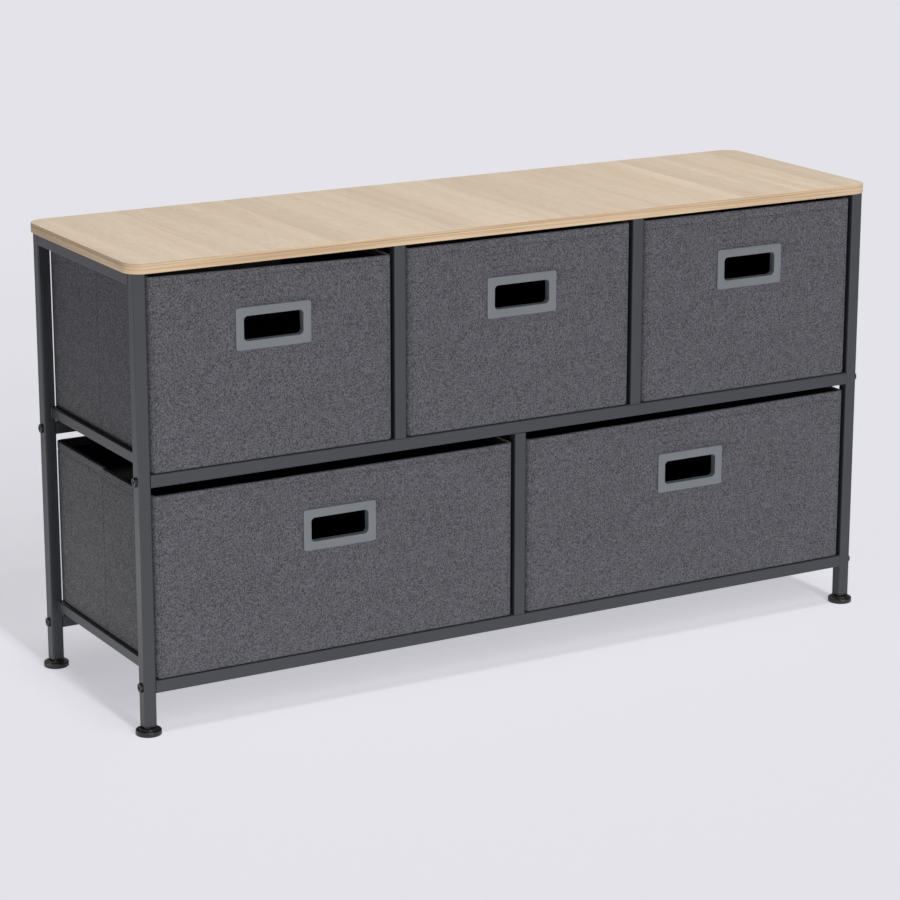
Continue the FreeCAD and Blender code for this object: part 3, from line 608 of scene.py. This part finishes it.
class DRESSER_OT_frame_finish(bpy.types.Operator):
    """Coat the tubes and finish the fasteners, plugs and feet"""
    bl_idname = "dresser.frame_finish"
    bl_label = "Frame and feet"

    def execute(self, context):
        settings = context.scene.dresser_frame
        tubes = [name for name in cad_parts
                 if name.endswith(("_post", "_rail", "_divider"))]
        paint_nodes(powder_coat(settings), tubes)
        paint_nodes(plated_steel("dark_plated_steel", settings.bolt, 0.38), ["frame_bolts"])
        studs = [f"{corner}_foot_stud" for corner in CORNERS]
        paint_nodes(plated_steel("bright_zinc_plate", settings.zinc, 0.3),
                    ["inner_screws", *studs])
        paint_nodes(moulded_plastic("black_polypropylene", settings.plug, 0.5, 0.4 * MM, 0.05),
                    ["tube_end_plugs", "post_plugs"])
        paint_nodes(moulded_plastic("black_foot_nylon", settings.foot, 0.38, 0.5 * MM, 0.06),
                    [f"{corner}_foot_pad" for corner in CORNERS])
        paint_nodes(pressed_fibre("turned_beech", settings.peg, 0.6), ["divider_pegs"])
        return {"FINISHED"}


def bead_ring(name, low, high, y, width):
    """A bead of a width that follows the outline of a flat rail's section at y."""
    centre = Vector(((low.x + high.x) / 2, y, (low.z + high.z) / 2))
    corner = 0.6 * width
    segments = 40
    bpy.ops.object.select_all(action="DESELECT")
    bpy.ops.mesh.primitive_torus_add(
        location=centre, rotation=(math.radians(90), math.pi / segments, 0),
        major_segments=segments, minor_segments=10, major_radius=corner,
        minor_radius=width / 2)
    bead = bpy.context.active_object
    bead.name = bead.data.name = name
    bpy.ops.object.transform_apply(location=True, rotation=True, scale=True)
    for vertex in bead.data.vertices:
        for axis in (0, 2):
            straight = (high[axis] - low[axis]) / 2 - corner + 0.1 * width
            vertex.co[axis] += math.copysign(straight, vertex.co[axis] - centre[axis])
    start_edit(bead)
    for axis in (0, 2):
        divide_long_edges(bead, axis, 0.5 * width)
    end_edit()
    return bead


class DRESSER_OT_weld_beads(bpy.types.Operator):
    """Lay a weld bead round each end of the flat side rails"""
    bl_idname = "dresser.weld_beads"
    bl_label = "Weld beads"

    def execute(self, context):
        settings = context.scene.dresser_frame
        coat = bpy.data.materials["anthracite_powder_coat"]
        for side in ("left", "right"):
            for level in ("middle", "bottom"):
                low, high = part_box(f"{side}_{level}_rail")
                for end, y, inward in (("front", low.y, 1), ("back", high.y, -1)):
                    bead = bead_ring(f"{side}_{level}_{end}_weld", low, high,
                                     y + inward * 0.2 * settings.bead, settings.bead)
                    for vertex in bead.data.vertices:
                        lump = noise.noise(vertex.co * 900)
                        vertex.co.y += inward * 0.25 * settings.bead * lump
                        vertex.co.z += 0.12 * settings.bead * lump
                    finish_piece(bead, "frame", coat)
                    smooth_shading(bead, 60)
        return {"FINISHED"}


# ---- bins

def handle_hole(drawer):
    """Left, right, lower and upper limits of the hole in a drawer's front."""
    low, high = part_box(f"{drawer}_handle_ring")
    margin = 5.6 * MM
    return low.x + margin, high.x - margin, low.z + margin, high.z - margin


def open_handle_hole(piece, drawer, front):
    """Delete the faces of a front wall at y behind the handle's bezel."""
    left, right, bottom, top = handle_hole(drawer)
    deepest = front + 2 * MM

    def inside(face):
        centre = face.calc_center_median()
        return left < centre.x < right and bottom < centre.z < top and centre.y < deepest
    pick(piece, "FACE", inside)
    bpy.ops.mesh.delete(type="FACE")


# how far the cloth is held flat from a corner, from the bottom and round a bezel
HELD_BY_CORNER, HELD_BY_BOTTOM, HELD_BY_BEZEL = 30 * MM, 25 * MM, 18 * MM
BEZEL_LAP = 8 * MM


def cloth_offset(point, low, high, hole, number, settings, sag):
    """How the cloth of a bin lies off its straight shape at a point."""
    centre = (low + high) / 2
    half = (high - low) / 2
    from_wall = Vector((half.x - abs(point.x - centre.x), half.y - abs(point.y - centre.y), 0))
    sideways = Vector((math.copysign(1, point.x - centre.x), 0, 0))
    if from_wall.y < from_wall.x:
        sideways = Vector((0, math.copysign(1, point.y - centre.y), 0))
    near_corner = smooth_step(max(from_wall.x, from_wall.y) / HELD_BY_CORNER)
    rise = smooth_step((point.z - low.z) / HELD_BY_BOTTOM)
    seed = Vector((37.0 * number, 0, 0))
    wave = noise.noise(point * 14 + seed) * 0.6 + noise.noise(point * 38 + seed) * 0.25
    # puckers that the hem's seam gathers, about 15 mm apart
    below_hem = abs(high.z - settings.hem - point.z)
    pucker = noise.noise(Vector((point.x * 75, point.y * 75, 0)) + seed)
    wave += 0.55 * pucker * math.exp(-below_hem / (9 * MM))
    push = settings.ripple * max(-0.2, min(1.0, 0.25 + wave)) * near_corner * rise
    left, right, bottom, top = hole
    if point.y < centre.y and sideways.y:
        away = max(left - point.x, point.x - right, bottom - point.z, point.z - top)
        push *= smooth_step((away - BEZEL_LAP) / HELD_BY_BEZEL)
    across = (point.x - low.x) / (high.x - low.x)
    drop = sag[0] + (sag[1] - sag[0]) * across + 0.35 * MM * noise.noise(point * 22 + seed)
    if point.y > centre.y:
        drop *= 0.5
    drop *= smooth_step((point.z - (high.z - 32 * MM)) / (30 * MM))
    return sideways * push - Vector((0, 0, max(drop, 0)))


def dip_seams(piece, low, high, settings):
    """Pull the cloth in along its seams: below the rim, beside the corners, down each side."""
    centre = (low + high) / 2
    seam = high.z - settings.hem
    reach = settings.seam_width / 2
    skin = 1.5 * MM
    for vertex in piece.data.vertices:
        point = vertex.co
        from_x = min(point.x - low.x, high.x - point.x)
        from_y = min(point.y - low.y, high.y - point.y)
        if min(from_x, from_y) > skin:
            continue
        on_front = from_y < from_x
        dip = math.exp(-((point.z - seam) / reach) ** 2)
        if on_front:
            dip = max(dip, math.exp(-((from_x - settings.side_seam) / reach) ** 2))
        else:
            dip = max(dip, 1.6 * math.exp(-((point.y - centre.y) / (0.6 * reach)) ** 2))
        axis = 1 if on_front else 0
        point[axis] += math.copysign(dip * settings.seam_depth, centre[axis] - point[axis])


def seam_places(low, high, settings):
    """Where the cloth is cut finely so that its seams can dip."""
    reach = settings.seam_width
    steps = (-1.0, -0.5, -0.25, 0.0, 0.25, 0.5, 1.0)
    centre = (low.y + high.y) / 2
    seam = high.z - settings.hem
    upright = [edge + side * settings.side_seam
               for edge, side in ((low.x, 1), (high.x, -1))]
    return ([place + reach * step for place in upright for step in steps],
            [centre + reach * step for step in steps],
            [seam + reach * step for step in steps])


# how far the rim of each drawer hangs at its left and at its right
RIM_SAG = {"upper_left": (0.4 * MM, 6.0 * MM), "upper_middle": (1.2 * MM, 0),
           "upper_right": (0, 0), "lower_left": (3.6 * MM, 3.4 * MM),
           "lower_right": (2.8 * MM, 0)}


def sew_bin(drawer, settings, cloth):
    """The outer cloth of one bin, folded over its rim."""
    low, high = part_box(f"{drawer}_bin")
    shell = new_box(f"{drawer}_cloth_bin", low, high)
    start_edit(shell)
    round_edges(shell, along(2), settings.corner, 6)
    round_edges(shell, rim_at(2, low.z), settings.bottom_edge, 4)
    pick(shell, "FACE", facing(2, 1, high.z))
    bpy.ops.mesh.inset(thickness=settings.wall, depth=0)
    draw_out(0, 0, -settings.turn_in)
    round_edges(shell, rim_at(2, high.z), 0.9 * MM, 3)
    pick(shell, "FACE", facing(2, -1, low.z))
    bpy.ops.mesh.delete(type="FACE")
    hole = left, right, bottom, top = handle_hole(drawer)
    fine_x, fine_y, fine_z = seam_places(low, high, settings)
    for axis, places in enumerate(((left, right, *fine_x), fine_y, (bottom, top, *fine_z))):
        cut_across(axis, places)
    for axis in range(3):
        divide_long_edges(shell, axis, settings.mesh_step)
    open_handle_hole(shell, drawer, low.y)
    pick(shell, "EDGE", lambda edge: edge.is_boundary and lies_at(edge, 2, low.z))
    bpy.ops.mesh.edge_face_add()
    end_edit()
    dip_seams(shell, low, high, settings)
    number = DRAWERS.index(drawer)
    for vertex in shell.data.vertices:
        vertex.co += cloth_offset(vertex.co, low, high, hole, number, settings,
                                  RIM_SAG[drawer])
    thicken(shell, settings.cloth)
    real_size_map(shell)
    smooth_shading(shell, 50)
    finish_piece(shell, f"{drawer}_drawer", cloth, [f"{drawer}_bin"])


def line_bin(drawer, settings, lining):
    """The thin black cloth inside one bin, from the turned-in hem down to the base board."""
    low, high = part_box(f"{drawer}_bin")
    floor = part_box(f"{drawer}_base_board")[1].z + 0.3 * MM
    inset = Vector((settings.wall, settings.wall, 0))
    bottom = Vector((low.x, low.y, floor)) + inset
    overlap = 2 * MM
    top = Vector((high.x, high.y, high.z - settings.turn_in + overlap)) - inset
    sheet = new_box(f"{drawer}_lining", bottom, top)
    start_edit(sheet)
    round_edges(sheet, along(2), 3 * MM, 3)
    pick(sheet, "FACE", lambda face: abs(face.normal.z) > 0.99)
    bpy.ops.mesh.delete(type="FACE")
    left, right, lower, upper = handle_hole(drawer)
    cut_across(0, (left, right))
    cut_across(2, (lower, upper))
    for axis in range(3):
        divide_long_edges(sheet, axis, 2.2 * settings.mesh_step)
    open_handle_hole(sheet, drawer, bottom.y)
    bpy.ops.mesh.select_all(action="SELECT")
    bpy.ops.mesh.flip_normals()
    end_edit()
    centre = (low + high) / 2
    for vertex in sheet.data.vertices:
        point = vertex.co
        wave = 0.35 * MM * (0.5 + noise.noise(point * 20))
        axis = 0 if abs(point.x - bottom.x) < MM or abs(point.x - top.x) < MM else 1
        point[axis] += math.copysign(wave, centre[axis] - point[axis])
    thicken(sheet, 0.4 * MM)
    smooth_shading(sheet, 50)
    finish_piece(sheet, f"{drawer}_drawer", lining, [f"{drawer}_bin"])


class DRESSER_OT_bins(bpy.types.Operator):
    """Sew the five bins, line them and finish the boards inside"""
    bl_idname = "dresser.bins"
    bl_label = "Cloth bins"

    def execute(self, context):
        settings = context.scene.dresser_bins
        cloth = linen_look_cloth(settings)
        lining = black_lining(settings)
        for drawer in DRAWERS:
            sew_bin(drawer, settings, cloth)
            line_bin(drawer, settings, lining)
        paint_nodes(lining, [f"{drawer}_base_board" for drawer in DRAWERS])
        paint_nodes(pressed_fibre("thin_fibreboard", settings.board, 0.75),
                    [f"{drawer}_wall_boards" for drawer in DRAWERS])
        return {"FINISHED"}


# ---- stitches

def stitch_master(settings):
    """One sewn stitch along X, lying in the cloth."""
    bpy.ops.object.select_all(action="DESELECT")
    bpy.ops.mesh.primitive_uv_sphere_add(segments=6, ring_count=4, radius=0.5)
    stitch = bpy.context.active_object
    stitch.rotation_euler = (0, math.radians(90), 0)
    bpy.ops.object.transform_apply(location=True, rotation=True, scale=True)
    length, width, height = 0.78 * settings.stitch, 0.75 * MM, 0.55 * MM
    stitch.scale = (length, width, height)
    bpy.ops.object.transform_apply(location=True, rotation=True, scale=True)
    points = [vertex.co.copy() for vertex in stitch.data.vertices]
    faces = [tuple(polygon.vertices) for polygon in stitch.data.polygons]
    bpy.data.objects.remove(stitch)
    return points, faces


def seam_runs(low, high, settings):
    """Start, end and outward direction of every seam on a bin's walls."""
    seam = high.z - settings.hem
    gap = settings.corner + MM
    foot, head = low.z + 6 * MM, seam - 3 * MM
    runs = []
    for wall, uprights in ((1, (low.x + settings.side_seam, high.x - settings.side_seam)),
                           (0, ((low.y + high.y) / 2,))):
        for face, sign in ((low[wall], -1), (high[wall], 1)):
            def spot(place, height):
                return Vector((place, face, height) if wall else (face, place, height))
            out = Vector((0, sign, 0) if wall else (sign, 0, 0))
            runs.append((spot(low[1 - wall] + gap, seam), spot(high[1 - wall] - gap, seam),
                         out))
            runs += [(spot(place, foot), spot(place, head), out) for place in uprights]
    return runs


class DRESSER_OT_stitches(bpy.types.Operator):
    """Sew the rows of stitches into the bins' seams"""
    bl_idname = "dresser.stitches"
    bl_label = "Stitches"

    def execute(self, context):
        settings = context.scene.dresser_bins
        thread = sewing_thread(settings)
        points, faces = stitch_master(settings)
        for drawer in DRAWERS:
            low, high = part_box(f"{drawer}_bin")
            shell = bpy.data.objects[f"{drawer}_cloth_bin"].data
            surface = BVHTree.FromPolygons([vertex.co for vertex in shell.vertices],
                                           [tuple(face.vertices) for face in shell.polygons])
            vertices, polygons = [], []
            for start, end, out in seam_runs(low, high, settings):
                run = (end - start).normalized()
                side = out.cross(run)
                count = int((end - start).length / settings.stitch)
                for index in range(count):
                    place = start + run * settings.stitch * (index + 0.5)
                    hit = surface.ray_cast(place + out * 5 * MM, -out, 10 * MM)[0]
                    if hit is None:
                        continue
                    first = len(vertices)
                    vertices += [hit + run * p.x + side * p.y + out * p.z for p in points]
                    polygons += [tuple(first + number for number in face) for face in faces]
            mesh = bpy.data.meshes.new(f"{drawer}_stitches")
            mesh.from_pydata(vertices, [], polygons)
            row = bpy.data.objects.new(f"{drawer}_stitches", mesh)
            context.scene.collection.objects.link(row)
            finish_piece(row, f"{drawer}_drawer", thread)
            smooth_shading(row, 80)
        return {"FINISHED"}


# ---- handles

def lay_slot(handle, sign, level, width, height, corner):
    """Inset a flat face of the edited handle and lay its rim on a rounded slot's outline."""
    inset, rim_corner = MM, 2 * MM
    pick(handle, "FACE", facing(1, sign, level))
    bpy.ops.mesh.inset(thickness=inset, depth=0)
    mesh = bmesh.from_edit_mesh(handle.data)
    rim = [vertex for vertex in mesh.verts if vertex.select]
    middle, size = [], []
    for axis in (0, 2):
        ends = [f(vertex.co[axis] for vertex in rim) for f in (min, max)]
        middle.append(sum(ends) / 2)
        size.append((ends[1] - ends[0]) / 2)
    for vertex in rim:
        away = [vertex.co.x - middle[0], vertex.co.z - middle[1]]
        signs = [math.copysign(1, value) for value in away]
        bend = [max(abs(value) - half + rim_corner, 0) for value, half in zip(away, size)]
        reach = math.hypot(*bend)
        spots = [sign * (half - corner + corner * part / reach)
                 for sign, half, part in zip(signs, (width / 2, height / 2), bend)]
        vertex.co.x = middle[0] + spots[0]
        vertex.co.z = middle[1] + spots[1]
    bmesh.update_edit_mesh(handle.data)


def mould_handle(drawer, settings):
    """A bezel on the cloth, with a collar through the front wall round its slot."""
    low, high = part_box(f"{drawer}_handle")
    cloth = low.y + settings.proud
    handle = new_box(f"{drawer}_slot_handle", low, Vector((high.x, cloth, high.z)))
    width, height, corner = settings.grip_width, settings.grip_height, settings.inner_corner
    start_edit(handle)
    round_edges(handle, along(1), settings.outer_corner, 6)
    lay_slot(handle, -1, low.y, width, height, corner)
    draw_out(0, high.y - low.y, 0)
    wall = settings.collar
    lay_slot(handle, 1, cloth, width + 2 * wall, height + 2 * wall, corner + wall)
    draw_out(0, high.y - cloth, 0)
    pick(handle, "EDGE", lambda edge: edge.is_boundary)
    bpy.ops.mesh.bridge_edge_loops()
    round_edges(handle, rim_at(1, low.y), settings.rounding, 4)
    end_edit()
    return handle


class DRESSER_OT_handles(bpy.types.Operator):
    """Mould the slot handles and finish the rings behind them"""
    bl_idname = "dresser.handles"
    bl_label = "Slot handles"

    def execute(self, context):
        settings = context.scene.dresser_handles
        plastic = moulded_plastic("blue_grey_moulded_plastic", settings.plastic, 0.42,
                                  0.5 * MM, 0.03)
        first = mould_handle(DRAWERS[0], settings)
        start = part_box(f"{DRAWERS[0]}_handle")[0]
        for drawer in DRAWERS:
            handle = first
            if drawer != DRAWERS[0]:
                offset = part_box(f"{drawer}_handle")[0] - start
                handle = copy_piece(first, f"{drawer}_slot_handle", offset)
            finish_piece(handle, f"{drawer}_drawer", plastic,
                         [f"{drawer}_handle"])
            smooth_shading(handle)
        paint_nodes(plastic, [f"{drawer}_handle_ring" for drawer in DRAWERS])
        return {"FINISHED"}


# ---- stage

def aim(kind, name, place, target, strength):
    """Add a light at a place that shines at a target."""
    place = Vector(place)
    turn = (Vector(target) - place).to_track_quat("-Z", "Y").to_euler()
    bpy.ops.object.light_add(type=kind, location=place, rotation=turn)
    light = bpy.context.active_object
    light.name = name
    light.data.energy = strength
    return light


def sun(name, place, strength, spread):
    """Add a sun that shines on the middle from a place, spread over some degrees."""
    light = aim("SUN", name, place, (0, 0, 0), strength)
    light.data.angle = math.radians(spread)
    return light


def light_panel(name, place, target, strength, width, height):
    """Add a warm rectangle of light."""
    light = aim("AREA", name, place, target, strength)
    light.data.shape = "RECTANGLE"
    light.data.size = width
    light.data.size_y = height
    light.data.color = linear("#FFFFF5")[:3]
    return light


def light_dresser_only(light, floor):
    """Keep a light off the floor, so that it throws no shadow there."""
    unlit = bpy.data.collections.new(f"{light.name}_leaves_out")
    unlit.objects.link(floor)
    light.light_linking.receiver_collection = unlit
    unlit.collection_objects[0].light_linking.link_state = "EXCLUDE"
    light.visible_camera = False


class DRESSER_OT_stage(bpy.types.Operator):
    """Set the paper, soft light and camera"""
    bl_idname = "dresser.stage"
    bl_label = "Stage"

    def execute(self, context):
        settings = context.scene.dresser_stage
        scene = context.scene
        scene.view_settings.view_transform = "Standard"
        bpy.ops.object.select_all(action="DESELECT")
        bpy.ops.mesh.primitive_plane_add(size=60, location=(0, 0, 0))
        paper = context.active_object
        paper.name = paper.data.name = "studio_paper"
        paper.data.materials.append(studio_paper(settings))
        # a tall narrow soft box in front, as suns one above the other that each throw
        # the same light on the floor
        heights = [math.radians(degrees) for degrees in range(14, 57, 7)]
        for number, height in enumerate(heights, start=1):
            sun(f"key_light_{number}", (0, -4, 4 * math.tan(height)),
                settings.key / len(heights) / math.sin(height), 4.5)
        sun("top_light", (0, -0.4, 4), settings.top, 12)
        for light in (
                sun("front_light", (0, -4, 0.85), settings.front, 3),
                sun("rim_light", (0.8, 2.4, 3.8), settings.rim, 20),
                light_panel("left_light", (-1.15, -0.5, 0.1), (-0.4, 0, 0.13), settings.left,
                            0.6, 0.2),
                light_panel("low_light", (-0.85, 0.15, 0.07), (-0.4, 0, 0.08), settings.low,
                            0.3, 0.1)):
            light_dresser_only(light, paper)
        world = bpy.data.worlds.new("soft_room")
        scene.world = world
        world.use_nodes = True
        tree = world.node_tree
        tree.nodes.clear()
        fill = add_node(tree, "Background", {"Strength": settings.fill,
                                             "Color": linear("#FFFFFF")})
        back = add_node(tree, "Background", {"Strength": 1.0, "Color": settings.back})
        seen = add_node(tree, "LightPath", {}).outputs["Is Camera Ray"]
        mixed = add_node(tree, "MixShader", {0: seen, 1: fill.outputs[0], 2: back.outputs[0]})
        add_node(tree, "OutputWorld", {"Surface": mixed.outputs[0]})
        bpy.ops.object.camera_add(location=settings.camera,
                                  rotation=(math.radians(90) - settings.tilt, 0,
                                            -settings.turn))
        camera = context.active_object
        camera.name = "camera"
        camera.data.lens = settings.lens
        camera.data.clip_end = 200
        scene.camera = camera
        return {"FINISHED"}


# ---- panel and registration

class DRESSER_PT_panel(bpy.types.Panel):
    """Sizes, colours and steps of the dresser"""
    bl_idname = "DRESSER_PT_panel"
    bl_label = "Fabric drawer dresser"
    bl_space_type = "VIEW_3D"
    bl_region_type = "UI"
    bl_category = "Dresser"

    def draw(self, context):
        for step, name, group in STEPS:
            box = self.layout.box()
            box.operator(step.bl_idname)
            if group:
                settings = getattr(context.scene, name)
                for value in settings.__annotations__:
                    box.prop(settings, value)


STEPS = ((DRESSER_OT_top_board, "dresser_board", BoardSettings),
         (DRESSER_OT_frame_finish, "dresser_frame", FrameSettings),
         (DRESSER_OT_weld_beads, None, None),
         (DRESSER_OT_bins, "dresser_bins", BinSettings),
         (DRESSER_OT_stitches, None, None),
         (DRESSER_OT_handles, "dresser_handles", HandleSettings),
         (DRESSER_OT_stage, "dresser_stage", StageSettings))
GROUPS = {name: group for step, name, group in STEPS if name}
CLASSES = (*GROUPS.values(), *(step for step, name, group in STEPS), DRESSER_PT_panel)


def register():
    """Add the classes and the scene's settings."""
    for kind in CLASSES:
        bpy.utils.register_class(kind)
    for name, group in GROUPS.items():
        setattr(bpy.types.Scene, name, PointerProperty(type=group))


def unregister():
    """Take the settings and the classes away."""
    for name in GROUPS:
        delattr(bpy.types.Scene, name)
    for kind in reversed(CLASSES):
        bpy.utils.unregister_class(kind)


def main():
    """Build everything in order."""
    register()
    bpy.ops.dresser.top_board()
    bpy.ops.dresser.frame_finish()
    bpy.ops.dresser.weld_beads()
    bpy.ops.dresser.bins()
    bpy.ops.dresser.stitches()
    bpy.ops.dresser.handles()
    bpy.ops.dresser.stage()


if __name__ == "__main__":
    main()
